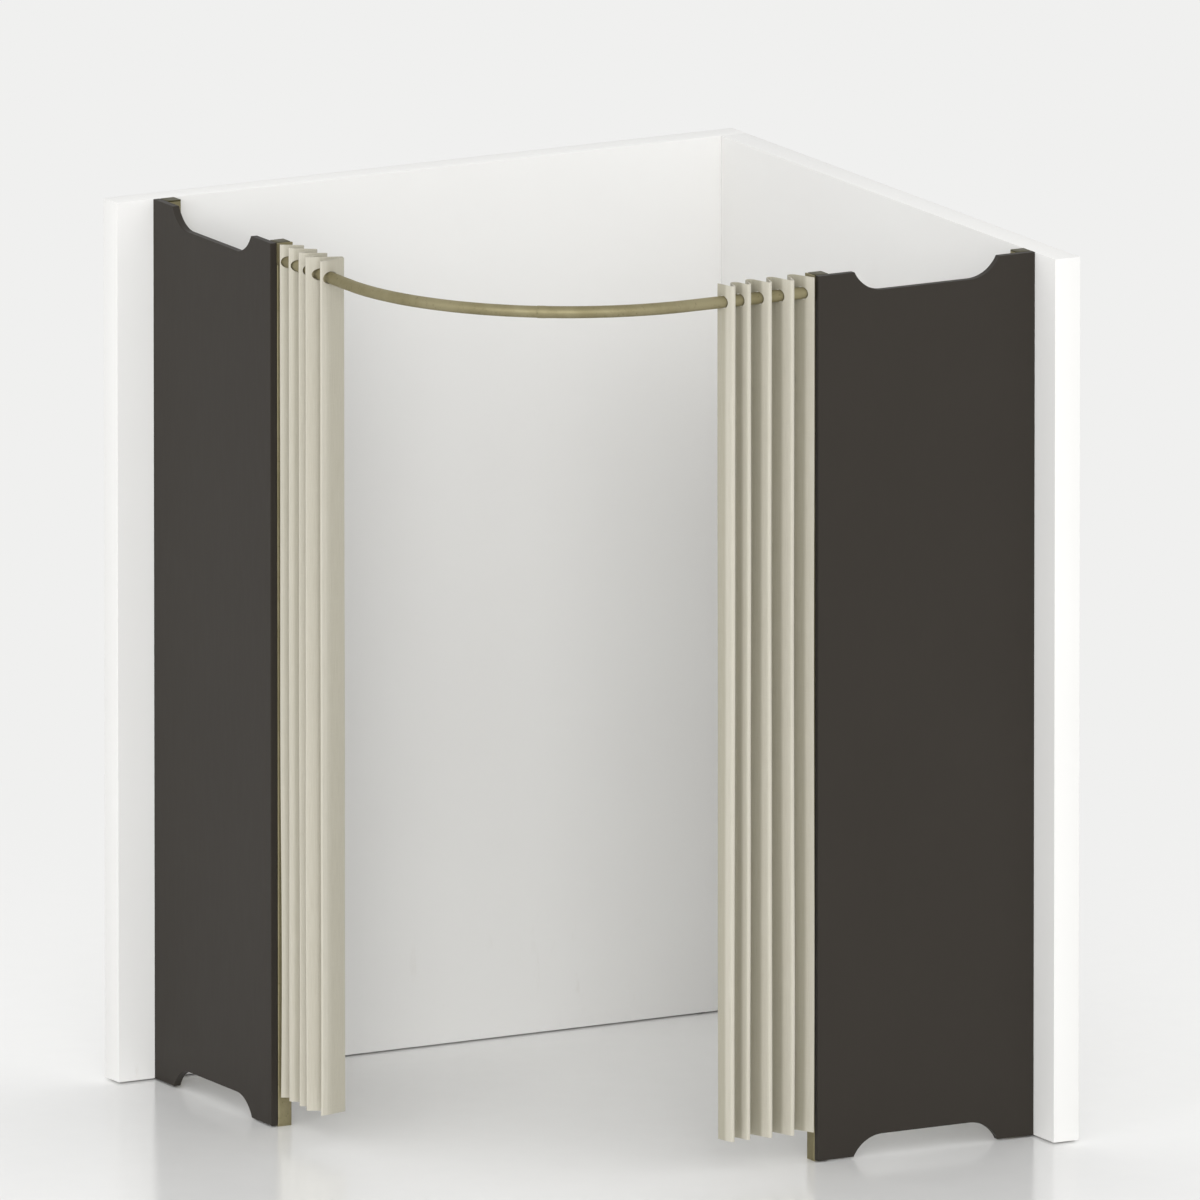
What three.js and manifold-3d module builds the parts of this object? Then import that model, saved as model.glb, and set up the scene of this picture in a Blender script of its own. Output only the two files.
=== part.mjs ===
import * as THREE from "three";
import { mergeVertices } from "three/addons/utils/BufferGeometryUtils.js";
import Module from "manifold-3d";

// Portable fitting room for a corner: two free-standing walls in an L, a board standing square to each
// wall, four square posts, a bent rail between the front posts and two curtains threaded on it.
// Everything is worked out from the inner corner of the walls: U runs along the left wall, V along the
// right wall, Z up. Millimetres.

const wasm = await Module();
wasm.setup();

// Room
const roomSide = 1750;
const roomHeight = 2200;
const fitGap = 0.3;
const cutOverrun = 5;
const weldDistance = 0.001;

// Walls
const wallThickness = 70;
const wallBoard = 12;
const wallCap = 12;
const wallRail = 90;
const wallStile = 60;
const anchorStile = 80;
const glideHeight = 4;
const glideRadius = 25;
const glideSetIn = 120;

// Boards beside the doorway
const boardWidth = 600;
const boardThickness = 19;
const boardEdge = 1.5;
const boardSetIn = 100;
const hornWidth = 100;
const notchDepth = 50;
const notchRadius = 89;

// Posts
const postSide = 38;
const postWall = 2;
const postCorner = 3;
const postFoot = 5;
const postCap = 3;
const plugDepth = 20;

// Rail
const railDrop = 45;
const railStraight = 340;
const leftRailDiameter = 29;
const rightRailDiameter = 29.6;
const railWall = 1.6;
const railJoinBendShare = 0.6;
const sleeveLength = 120;
const sleeveWall = 2;
const sleeveSlack = 0.8;
const bracketWidth = 42;
const bracketThickness = 5;
const bracketTopDrop = 1;

// Curtains
const curtainTopDrop = 2;
const curtainLength = 2122;
const clothThickness = 3;
const gatheredLength = 230;
const foldDepth = 60;
const innerFoldRadius = 8;
const outerFoldRadius = 4;
const holeClearance = 0.6;
const pleatGap = 0.6;

// Screws
const screwRadius = 2.5;
const screwHeadRadius = 5;
const screwHeadHeight = 2.4;
const screwBite = 13;
const screwClearance = 0.4;
const cornerBoltRadius = 4;
const cornerBoltHeadRadius = 9;
const cornerBoltHead = 5;
const cornerBoltBite = 45;
const bracketScrewDrop = 10;
const bracketScrewBite = 8;

// Where things sit up the height, as shares of the room's height
const boardScrewHeightShares = [0.17, 0.83];
const anchorHeightShares = [0.12, 0.88];
const cornerBoltHeightShares = [0.1, 0.9];

// Each fold of a curtain, counted from its post: how far along, as a share of the gathered length, and
// how far out of the rail's line, as a share of the fold depth. Outer and inner folds take turns.
const leftFoldShares = [
  [0.065, 0.4], [0.05, -0.55], [0.265, 0.46], [0.235, -0.58], [0.49, 0.48],
  [0.41, -0.78], [0.755, 0.62], [0.675, -0.7], [1.0, 0.54], [0.92, -0.73],
];
const rightFoldShares = [
  [0.045, 0.57], [0.2, -0.68], [0.315, 0.82], [0.45, -0.68], [0.57, 0.7],
  [0.7, -0.72], [0.81, 0.64], [0.91, -0.52], [1.005, 0.72], [1.08, -0.29],
];

// Round pieces: sides and steps
const screwSides = 12;
const railSides = 20;
const railSteps = 20;
const foldSteps = 5;
const notchSteps = 10;
const cornerSteps = 3;

// Places that follow from the sizes
const wallInner = roomSide - wallThickness;
const boardInner = wallInner - boardSetIn - boardThickness;
const postCentre = boardInner - fitGap - postSide / 2;
const rearPostAt = fitGap + postSide / 2;
const frontPostAt = boardWidth - postSide / 2;
const railHeight = roomHeight - railDrop;
const railStart = boardWidth + 2 * fitGap;
const bendCentre = boardWidth + railStraight;
const bendRadius = postCentre - bendCentre;
const bendLength = (bendRadius * Math.PI) / 2;
const railLength = 2 * (bendCentre - railStart) + bendLength;
const railJoin = bendCentre - railStart + railJoinBendShare * bendLength;
const wallBottom = glideHeight + fitGap;
const boardBottom = glideHeight;
const cornerBoltDepth = -wallThickness + cornerBoltHead + fitGap;
const bracketTop = roomHeight - bracketTopDrop;
const curtainTop = roomHeight - curtainTopDrop;

const finishes = {
  white: { color: 0xf2f2ef, roughness: 0.55, metalness: 0 },
  core: { color: 0xc9b48a, roughness: 0.8, metalness: 0 },
  board: { color: 0x45413d, roughness: 0.6, metalness: 0 },
  brass: { color: 0x857b58, roughness: 0.38, metalness: 0.85 },
  cloth: { color: 0xcfc8b8, roughness: 0.9, metalness: 0 },
  steel: { color: 0xb9bbbd, roughness: 0.35, metalness: 0.9 },
  rubber: { color: 0x1d1d1d, roughness: 0.85, metalness: 0 },
};

// A three.js geometry as a solid that can be joined and cut, and back again.
function toSolid(geometry) {
  const bare = geometry.clone();
  bare.deleteAttribute("normal");
  bare.deleteAttribute("uv");
  const merged = mergeVertices(bare, weldDistance);
  const vertProperties = merged.attributes.position.array;
  const triVerts = new Uint32Array(merged.index.array);
  return new wasm.Manifold(new wasm.Mesh({ numProp: 3, vertProperties, triVerts }));
}

function toGeometry(solid) {
  const mesh = solid.getMesh();
  const geometry = new THREE.BufferGeometry();
  geometry.setAttribute("position", new THREE.BufferAttribute(mesh.vertProperties, 3));
  geometry.setIndex(new THREE.BufferAttribute(mesh.triVerts, 1));
  const flat = geometry.toNonIndexed();
  flat.computeVertexNormals();
  return flat;
}

function cutAway(geometry, cutters) {
  let solid = toSolid(geometry);
  for (const cutter of cutters) {
    solid = solid.subtract(toSolid(cutter));
  }
  return toGeometry(solid);
}

function joinUp(geometries) {
  let solid = toSolid(geometries[0]);
  for (const other of geometries.slice(1)) {
    solid = solid.add(toSolid(other));
  }
  return toGeometry(solid);
}

function addPiece(group, name, geometry, finish) {
  const mesh = new THREE.Mesh(geometry, new THREE.MeshStandardMaterial(finishes[finish]));
  mesh.name = name;
  group.add(mesh);
}

// A block between two opposite corners.
function block(low, high) {
  const size = high.map((value, i) => value - low[i]);
  const middle = high.map((value, i) => (value + low[i]) / 2);
  return new THREE.BoxGeometry(...size).translate(...middle);
}

// A round bar from one point to another.
function roundBar(from, to, radius, sides = screwSides) {
  const start = new THREE.Vector3(...from);
  const end = new THREE.Vector3(...to);
  const way = end.clone().sub(start);
  const bar = new THREE.CylinderGeometry(radius, radius, way.length(), sides);
  const turn = new THREE.Quaternion().setFromUnitVectors(new THREE.Vector3(0, 1, 0), way.clone().normalize());
  bar.applyQuaternion(turn);
  const middle = start.add(end).multiplyScalar(0.5);
  return bar.translate(middle.x, middle.y, middle.z);
}

// A screw with a low round head; the point given is under the head, and it runs along the unit vector.
function headedScrew(seat, along, length, radius, headRadius, headHeight) {
  const profile = [
    new THREE.Vector2(0, -headHeight),
    new THREE.Vector2(headRadius / 2, -headHeight),
    new THREE.Vector2(headRadius, -headHeight / 3),
    new THREE.Vector2(headRadius, 0),
    new THREE.Vector2(radius, 0),
    new THREE.Vector2(radius, length - radius),
    new THREE.Vector2(0, length),
  ];
  const screw = new THREE.LatheGeometry(profile, screwSides);
  const turn = new THREE.Quaternion().setFromUnitVectors(new THREE.Vector3(0, 1, 0), new THREE.Vector3(...along));
  screw.applyQuaternion(turn);
  return screw.translate(...seat);
}

// Heights of the fastenings
const heightsOf = (shares) => shares.map((share) => share * roomHeight);
const boardScrewHeights = heightsOf(boardScrewHeightShares);
const anchorHeights = heightsOf(anchorHeightShares);
const cornerBoltHeights = heightsOf(cornerBoltHeightShares);

// The long holes for the corner bolts, through the left wall and into the end of the right one.
function cornerBoltHoles() {
  const middle = -wallThickness / 2;
  const radius = cornerBoltRadius + screwClearance;
  const end = cornerBoltBite + cutOverrun;
  return cornerBoltHeights.map((z) => roundBar([middle, -wallThickness - cutOverrun, z], [middle, end, z], radius));
}

// The sunk seats of their heads, in the outer face of the left wall.
function cornerBoltSeats() {
  const middle = -wallThickness / 2;
  const radius = cornerBoltHeadRadius + screwClearance;
  const floor = cornerBoltDepth + fitGap;
  return cornerBoltHeights.map((z) => roundBar([middle, -wallThickness - cutOverrun, z], [middle, floor, z], radius));
}

// The holes for the screws that hold a rear post to its wall.
function anchorHoles() {
  const radius = screwRadius + screwClearance;
  const deepest = -wallBoard - screwBite - cutOverrun;
  const out = postSide + 2 * fitGap + cutOverrun;
  return anchorHeights.map((z) => roundBar([postCentre, out, z], [postCentre, deepest, z], radius));
}

// Wall frame: one ring of rails and stiles, with a stile behind the rear post.
function wallFrame(start, holes) {
  const end = wallInner - wallCap - fitGap;
  const top = roomHeight - wallCap - fitGap;
  const back = -wallThickness + wallBoard + fitGap;
  const front = -wallBoard - fitGap;
  const low = wallBottom + wallRail;
  const high = top - wallRail;
  const anchorLow = postCentre - anchorStile / 2;
  const anchorHigh = postCentre + anchorStile / 2;
  const cornerEdge = Math.max(start, 0) + wallStile;
  const bays = [
    block([cornerEdge, back - cutOverrun, low], [anchorLow, front + cutOverrun, high]),
    block([anchorHigh, back - cutOverrun, low], [end - wallStile, front + cutOverrun, high]),
  ];
  const slab = block([start, back, wallBottom], [end, front, top]);
  return cutAway(slab, anchorHigh < end - wallStile ? [...bays, ...holes] : [bays[0], ...holes]);
}

function addWall(group, side, start, holes, sunkSeats) {
  const boardEnd = wallInner - wallCap - fitGap;
  const boardTop = roomHeight - wallCap - fitGap;
  const innerBoard = block([start, -wallBoard, wallBottom], [boardEnd, 0, boardTop]);
  const outerBoard = block([start, -wallThickness, wallBottom], [boardEnd, wallBoard - wallThickness, boardTop]);
  const topCap = block([start, -wallThickness, roomHeight - wallCap], [wallInner, 0, roomHeight]);
  const endCap = block([wallInner - wallCap, -wallThickness, wallBottom], [wallInner, 0, boardTop]);
  addPiece(group, `${side}_wall_frame`, wallFrame(start, holes), "core");
  addPiece(group, `${side}_wall_inner_board`, cutAway(innerBoard, holes), "white");
  addPiece(group, `${side}_wall_outer_board`, cutAway(outerBoard, [...holes, ...sunkSeats]), "white");
  addPiece(group, `${side}_wall_top_cap`, topCap, "white");
  addPiece(group, `${side}_wall_end_cap`, endCap, "white");
  const places = { corner: start + glideSetIn, end: wallInner - glideSetIn };
  for (const [place, along] of Object.entries(places)) {
    const glide = roundBar([along, -wallThickness / 2, 0], [along, -wallThickness / 2, glideHeight], glideRadius);
    addPiece(group, `${side}_wall_glide_${place}`, glide, "rubber");
  }
}

function addCornerBolts(group) {
  const names = ["lower", "upper"];
  const length = cornerBoltBite - cornerBoltDepth;
  cornerBoltHeights.forEach((z, i) => {
    const seat = [-wallThickness / 2, cornerBoltDepth, z];
    const sizes = [length, cornerBoltRadius, cornerBoltHeadRadius, cornerBoltHead];
    addPiece(group, `corner_bolt_${names[i]}`, headedScrew(seat, [0, 1, 0], ...sizes), "steel");
  });
}

// Board: upright outline with a shallow wide cut-out at the foot and at the top, each with a rounded
// rise from the horn to a flat ledge.
function boardOutline() {
  const centreDrop = notchRadius - notchDepth;
  const run = Math.sqrt(notchRadius ** 2 - centreDrop ** 2);
  const corner = Math.asin(centreDrop / notchRadius);
  const rear = hornWidth + run;
  const front = boardWidth - hornWidth - run;
  const quarter = Math.PI / 2;
  const lowCentre = boardBottom - centreDrop;
  const outline = new THREE.Shape();
  outline.moveTo(fitGap, boardBottom);
  outline.lineTo(hornWidth, boardBottom);
  outline.absarc(rear, lowCentre, notchRadius, Math.PI - corner, quarter, true);
  outline.lineTo(front, boardBottom + notchDepth);
  outline.absarc(front, lowCentre, notchRadius, quarter, corner, true);
  outline.lineTo(boardWidth, boardBottom);
  outline.lineTo(boardWidth, roomHeight);
  outline.lineTo(boardWidth - hornWidth, roomHeight);
  outline.absarc(front, roomHeight + centreDrop, notchRadius, -corner, -quarter, true);
  outline.lineTo(rear, roomHeight - notchDepth);
  outline.absarc(rear, roomHeight + centreDrop, notchRadius, -quarter, corner - Math.PI, true);
  outline.lineTo(fitGap, roomHeight);
  outline.closePath();
  return outline;
}

function boardScrewHoles() {
  const radius = screwRadius + screwClearance;
  const from = postCentre - postSide / 2 - cutOverrun;
  const to = boardInner + screwBite + screwClearance;
  const holes = [];
  for (const v of [rearPostAt, frontPostAt]) {
    for (const z of boardScrewHeights) {
      holes.push(roundBar([from, v, z], [to, v, z], radius));
    }
  }
  return holes;
}

function addBoard(group, side) {
  const slab = new THREE.ExtrudeGeometry(boardOutline(), {
    depth: boardThickness - 2 * boardEdge,
    curveSegments: notchSteps,
    bevelThickness: boardEdge,
    bevelSize: boardEdge,
    bevelOffset: -boardEdge,
    bevelSegments: 1,
  });
  const upright = new THREE.Matrix4().makeBasis(
    new THREE.Vector3(0, 1, 0),
    new THREE.Vector3(0, 0, 1),
    new THREE.Vector3(1, 0, 0),
  );
  slab.applyMatrix4(upright).translate(boardInner + boardEdge, 0, 0);
  addPiece(group, `${side}_board`, cutAway(slab, boardScrewHoles()), "board");
}

// Post: a square tube with rounded corners, and a foot and a cap plugged into its ends.
function squareBlock(at, side, low, high) {
  const half = side / 2;
  return block([postCentre - half, at - half, low], [postCentre + half, at + half, high]);
}

function roundedBlock(at, low, high) {
  const flat = postSide / 2 - postCorner;
  const outline = new THREE.Shape();
  const corners = [[flat, flat], [-flat, flat], [-flat, -flat], [flat, -flat]];
  corners.forEach(([x, y], i) => {
    const start = (i * Math.PI) / 2;
    outline.absarc(x, y, postCorner, start, start + Math.PI / 2, false);
  });
  const settings = { depth: high - low, bevelEnabled: false, curveSegments: cornerSteps };
  return new THREE.ExtrudeGeometry(outline, settings).translate(postCentre, at, low);
}

function bracketScrewHole() {
  const z = bracketTop - bracketScrewDrop;
  const radius = screwRadius + screwClearance;
  const from = boardWidth + bracketThickness + cutOverrun;
  const to = boardWidth - bracketScrewBite - cutOverrun;
  return roundBar([postCentre, from, z], [postCentre, to, z], radius);
}

function addPost(group, name, at, holes) {
  const low = postFoot + fitGap;
  const high = roomHeight - postCap - fitGap;
  const bore = squareBlock(at, postSide - 2 * postWall, low - cutOverrun, high + cutOverrun);
  const tube = cutAway(roundedBlock(at, low, high), [bore, ...holes]);
  const plugSide = postSide - 2 * postWall - 2 * fitGap;
  const footPlug = squareBlock(at, plugSide, postFoot / 2, postFoot + plugDepth);
  const capPlug = squareBlock(at, plugSide, roomHeight - postCap - plugDepth, roomHeight - postCap / 2);
  addPiece(group, `${name}_post`, tube, "brass");
  addPiece(group, `${name}_post_foot`, joinUp([roundedBlock(at, 0, postFoot), footPlug]), "brass");
  const capPlate = roundedBlock(at, roomHeight - postCap, roomHeight);
  addPiece(group, `${name}_post_cap`, cutAway(joinUp([capPlate, capPlug]), holes), "brass");
}

function addPostScrews(group, name, at) {
  const levels = ["lower", "upper"];
  const seat = postCentre - postSide / 2 - fitGap;
  const length = boardInner - seat + screwBite - screwClearance;
  boardScrewHeights.forEach((z, i) => {
    const screw = headedScrew([seat, at, z], [1, 0, 0], length, screwRadius, screwHeadRadius, screwHeadHeight);
    addPiece(group, `${name}_board_screw_${levels[i]}`, screw, "steel");
  });
}

function addAnchors(group, side) {
  const levels = ["lower", "upper"];
  const seat = rearPostAt + postSide / 2 + fitGap;
  const length = seat + wallBoard + screwBite;
  anchorHeights.forEach((z, i) => {
    const anchor = headedScrew([postCentre, seat, z], [0, -1, 0], length, screwRadius, screwHeadRadius, screwHeadHeight);
    addPiece(group, `${side}_wall_anchor_${levels[i]}`, anchor, "steel");
  });
}

// Rail: straight off each front post, then a quarter circle. A distance along it gives a point.
class RailLine extends THREE.Curve {
  constructor(from, to) {
    super();
    this.from = from;
    this.to = to;
  }
  getPoint(t) {
    const distance = this.from + t * (this.to - this.from);
    const straight = bendCentre - railStart;
    if (distance <= straight) {
      return new THREE.Vector3(postCentre, railStart + distance, railHeight);
    }
    const angle = Math.min((distance - straight) / bendRadius, Math.PI / 2);
    const beyond = Math.max(distance - straight - bendLength, 0);
    const u = bendCentre + bendRadius * Math.cos(angle) - beyond;
    const v = bendCentre + bendRadius * Math.sin(angle);
    return new THREE.Vector3(u, v, railHeight);
  }
}

function railTube(from, to, radius, wall, steps) {
  const section = new THREE.Shape();
  section.absarc(0, 0, radius, 0, 2 * Math.PI, false);
  if (wall > 0) {
    const bore = new THREE.Path();
    bore.absarc(0, 0, radius - wall, 0, 2 * Math.PI, true);
    section.holes.push(bore);
  }
  const extrudePath = new RailLine(from, to);
  const settings = { steps, curveSegments: railSides / 2, bevelEnabled: false, extrudePath };
  return new THREE.ExtrudeGeometry(section, settings);
}

// Bracket: an upright plate on the front of the post, round at its lower end, with a hole for the rail.
function bracketPlate() {
  const half = bracketWidth / 2;
  const rise = bracketTop - railHeight;
  const outline = new THREE.Shape();
  outline.moveTo(half, 0);
  outline.lineTo(half, rise);
  outline.lineTo(-half, rise);
  outline.lineTo(-half, 0);
  outline.absarc(0, 0, half, Math.PI, 2 * Math.PI, false);
  const settings = { depth: bracketThickness, bevelEnabled: false, curveSegments: notchSteps };
  const plate = new THREE.ExtrudeGeometry(outline, settings);
  plate.rotateX(Math.PI / 2);
  return plate.translate(postCentre, boardWidth + fitGap + bracketThickness, railHeight);
}

function addBracket(group, side, railDiameter) {
  const near = boardWidth + fitGap;
  const plateFront = near + bracketThickness;
  const hole = roundBar(
    [postCentre, near - cutOverrun, railHeight],
    [postCentre, plateFront + cutOverrun, railHeight],
    railDiameter / 2 + fitGap,
    railSides,
  );
  addPiece(group, `${side}_rail_bracket`, cutAway(bracketPlate(), [hole, bracketScrewHole()]), "brass");
  const seat = [postCentre, plateFront + fitGap, bracketTop - bracketScrewDrop];
  const length = bracketThickness + bracketScrewBite;
  const screw = headedScrew(seat, [0, -1, 0], length, screwRadius, screwHeadRadius, screwHeadHeight);
  addPiece(group, `${side}_bracket_screw`, screw, "brass");
}

function addRails(leftSide, rightSide) {
  const leftHalf = railTube(0, railJoin, leftRailDiameter / 2, railWall, railSteps);
  const rightHalf = railTube(0, railLength - railJoin - fitGap, rightRailDiameter / 2, railWall, railSteps);
  addPiece(leftSide, "left_rail", leftHalf, "brass");
  addPiece(rightSide, "right_rail", rightHalf, "brass");
  const smaller = Math.min(leftRailDiameter, rightRailDiameter);
  const radius = smaller / 2 - railWall - sleeveSlack;
  const from = railJoin - sleeveLength / 2;
  const sleeve = railTube(from, from + sleeveLength, radius, sleeveWall, Math.round(railSteps / 3));
  addPiece(leftSide, "rail_join_sleeve", sleeve, "steel");
}

// Curtain: the cloth's line in plan is straight blades between folds, each fold an arc.
function foldedLine(corners) {
  const line = [corners[0]];
  for (let i = 1; i < corners.length - 1; i += 1) {
    const radius = i % 2 ? innerFoldRadius : outerFoldRadius;
    line.push(...foldArc(corners[i - 1], corners[i], corners[i + 1], radius));
  }
  line.push(corners[corners.length - 1]);
  return line;
}

function foldArc(before, corner, after, radius) {
  const back = before.clone().sub(corner).normalize();
  const on = after.clone().sub(corner).normalize();
  const half = back.angleTo(on) / 2;
  const inward = back.clone().add(on).normalize();
  const centre = corner.clone().addScaledVector(inward, radius / Math.sin(half));
  const first = corner.clone().addScaledVector(back, radius / Math.tan(half)).sub(centre);
  const last = corner.clone().addScaledVector(on, radius / Math.tan(half)).sub(centre);
  const start = first.angle();
  let sweep = last.angle() - start;
  sweep = Math.atan2(Math.sin(sweep), Math.cos(sweep));
  const points = [];
  for (let k = 0; k <= foldSteps; k += 1) {
    const angle = start + (sweep * k) / foldSteps;
    points.push(new THREE.Vector2(radius * Math.cos(angle), radius * Math.sin(angle)).add(centre));
  }
  return points;
}

// The stretch of cloth between two places on its line, as a closed outline of the cloth's thickness.
function clothOutline(line) {
  const offset = (distance) =>
    line.map((point, i) => {
      const ahead = line[Math.min(i + 1, line.length - 1)];
      const behind = line[Math.max(i - 1, 0)];
      const way = ahead.clone().sub(behind).normalize();
      return new THREE.Vector2(-way.y, way.x).multiplyScalar(distance).add(point);
    });
  const oneSide = offset(clothThickness / 2);
  const otherSide = offset(-clothThickness / 2).reverse();
  return new THREE.Shape([...oneSide, ...otherSide]);
}

// Splits the line at the middle of each inner fold, leaving a small gap there.
function splitAtInnerFolds(line, corners) {
  const perFold = foldSteps + 1;
  const cuts = [];
  for (let fold = 1; fold < corners.length - 1; fold += 2) {
    const first = 1 + (fold - 1) * perFold;
    cuts.push(first + Math.floor(foldSteps / 2));
  }
  const pieces = [];
  let from = 0;
  let head = null;
  for (const cut of [...cuts, line.length - 1]) {
    const points = line.slice(from, cut + 1);
    if (head) points.unshift(head);
    if (cut < line.length - 1) {
      const next = line[cut + 1];
      const middle = line[cut].clone().add(next).multiplyScalar(0.5);
      const way = next.clone().sub(line[cut]).normalize();
      points.push(middle.clone().addScaledVector(way, -pleatGap / 2));
      head = middle.clone().addScaledVector(way, pleatGap / 2);
    }
    pieces.push(points);
    from = cut + 1;
  }
  return pieces;
}

function addCurtain(group, side, foldShares, railDiameter) {
  const corners = foldShares.map(([along, out]) => new THREE.Vector2(
    postCentre + out * foldDepth,
    boardWidth + along * gatheredLength,
  ));
  const reach = gatheredLength + 2 * foldDepth;
  const opening = railTube(0, reach, railDiameter / 2 + holeClearance, 0, 1);
  const settings = { depth: curtainLength, bevelEnabled: false };
  splitAtInnerFolds(foldedLine(corners), corners).forEach((line, i) => {
    const cloth = new THREE.ExtrudeGeometry(clothOutline(line), settings);
    cloth.translate(0, 0, curtainTop - curtainLength);
    addPiece(group, `${side}_curtain_pleat_${i + 1}`, cutAway(cloth, [opening]), "cloth");
  });
}

function addSide(group, side, foldShares, railDiameter) {
  const rear = `${side}_rear`;
  const front = `${side}_front`;
  addBoard(group, side);
  addPost(group, rear, rearPostAt, [...boardScrewHoles(), ...anchorHoles()]);
  addPost(group, front, frontPostAt, [...boardScrewHoles(), bracketScrewHole()]);
  addPostScrews(group, rear, rearPostAt);
  addPostScrews(group, front, frontPostAt);
  addAnchors(group, side);
  addBracket(group, side, railDiameter);
  addCurtain(group, side, foldShares, railDiameter);
}

// The two sides are one pattern, the second mirrored across the diagonal of the corner.
const leftSide = new THREE.Group();
const rightSide = new THREE.Group();
rightSide.rotation.z = Math.PI / 2;
rightSide.scale.y = -1;

addWall(leftSide, "left", -wallThickness, [...cornerBoltHoles(), ...anchorHoles()], cornerBoltSeats());
const boltHolesAlongRight = cornerBoltHeights.map((z) =>
  roundBar([-cutOverrun, -wallThickness / 2, z], [cornerBoltBite + cutOverrun, -wallThickness / 2, z],
    cornerBoltRadius + screwClearance));
addWall(rightSide, "right", fitGap, [...boltHolesAlongRight, ...anchorHoles()], []);
addCornerBolts(leftSide);
addSide(leftSide, "left", leftFoldShares, leftRailDiameter);
addSide(rightSide, "right", rightFoldShares, rightRailDiameter);
addRails(leftSide, rightSide);

// The corner faces the doorway toward -X and -Y, with the origin on the floor in the middle of the room.
const corner = new THREE.Group();
corner.rotation.z = Math.PI;
corner.position.set(roomSide / 2 - wallThickness, roomSide / 2 - wallThickness, 0);
corner.add(leftSide, rightSide);

const fittingRoom = new THREE.Group();
fittingRoom.add(corner);

export default fittingRoom;
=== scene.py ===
import math

import bmesh
import bpy
from mathutils import Matrix, Vector, noise


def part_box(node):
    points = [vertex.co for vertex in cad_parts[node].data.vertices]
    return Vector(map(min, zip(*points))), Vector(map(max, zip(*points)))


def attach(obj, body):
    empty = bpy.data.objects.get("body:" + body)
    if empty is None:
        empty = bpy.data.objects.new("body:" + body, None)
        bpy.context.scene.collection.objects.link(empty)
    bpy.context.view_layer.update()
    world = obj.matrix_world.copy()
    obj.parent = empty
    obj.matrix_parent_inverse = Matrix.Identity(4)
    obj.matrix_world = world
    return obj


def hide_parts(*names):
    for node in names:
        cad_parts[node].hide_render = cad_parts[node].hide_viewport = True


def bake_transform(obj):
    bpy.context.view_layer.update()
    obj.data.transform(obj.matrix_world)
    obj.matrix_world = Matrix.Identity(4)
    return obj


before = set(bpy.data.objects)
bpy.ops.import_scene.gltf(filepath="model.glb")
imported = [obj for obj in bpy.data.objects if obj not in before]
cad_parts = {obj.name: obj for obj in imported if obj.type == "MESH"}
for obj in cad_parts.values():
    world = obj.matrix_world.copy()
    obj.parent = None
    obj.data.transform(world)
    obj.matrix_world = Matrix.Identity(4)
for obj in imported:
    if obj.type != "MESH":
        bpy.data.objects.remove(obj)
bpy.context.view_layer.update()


# Camera: a very long lens far away, because the picture of the fitting room is a parallel projection
# taken from the open side, looking down by about 12 degrees.
lens_half_angle = math.radians(0.61)
camera_turn = math.radians(-28.718)
camera_rise = math.radians(12.235)
camera_aim = Vector((0.4237, 0.7264, 1.0906))
camera_distance = 138.04
camera_back = Vector((
    math.sin(camera_turn) * math.cos(camera_rise),
    -math.cos(camera_turn) * math.cos(camera_rise),
    math.sin(camera_rise),
))
lens = bpy.data.cameras.new("long_lens")
lens.sensor_width = 36
lens.lens = lens.sensor_width / 2 / math.tan(lens_half_angle)
lens.clip_start = 1
lens.clip_end = 400
camera = bpy.data.objects.new("long_lens", lens)
camera.location = camera_aim + camera_back * camera_distance
camera.rotation_mode = "QUATERNION"
camera.rotation_quaternion = (-camera_back).to_track_quat("-Z", "Y")
bpy.context.scene.collection.objects.link(camera)
bpy.context.scene.camera = camera


# Studio: an even white sky dome, a broad soft lamp from the open side, a weaker one further round to
# the left, and a pale, faintly glossy floor that runs off to the same grey as the backdrop.
class Flow:
    """A socket in a node tree that takes part in Python sums."""

    def __init__(self, finish, socket):
        self.finish = finish
        self.socket = socket

    def sum(self, operation, *values):
        """What a Math node makes of these values."""
        return self.finish.node("ShaderNodeMath", {"operation": operation}, dict(enumerate(values)))

    def __add__(self, other):
        return self.sum("ADD", self, other)

    def __radd__(self, other):
        return self.sum("ADD", other, self)

    def __mul__(self, other):
        return self.sum("MULTIPLY", self, other)

    def __rmul__(self, other):
        return self.sum("MULTIPLY", other, self)

    def sine(self):
        return self.sum("SINE", self)

    def larger(self, other):
        return self.sum("MAXIMUM", self, other)

    def between(self, low, high, start=0.0, end=1.0):
        """Runs from start to end while this runs from low to high, with soft ends."""
        settings = {"interpolation_type": "SMOOTHSTEP"}
        values = {"Value": self, "From Min": low, "From Max": high, "To Min": start, "To Max": end}
        return self.finish.node("ShaderNodeMapRange", settings, values)


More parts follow.
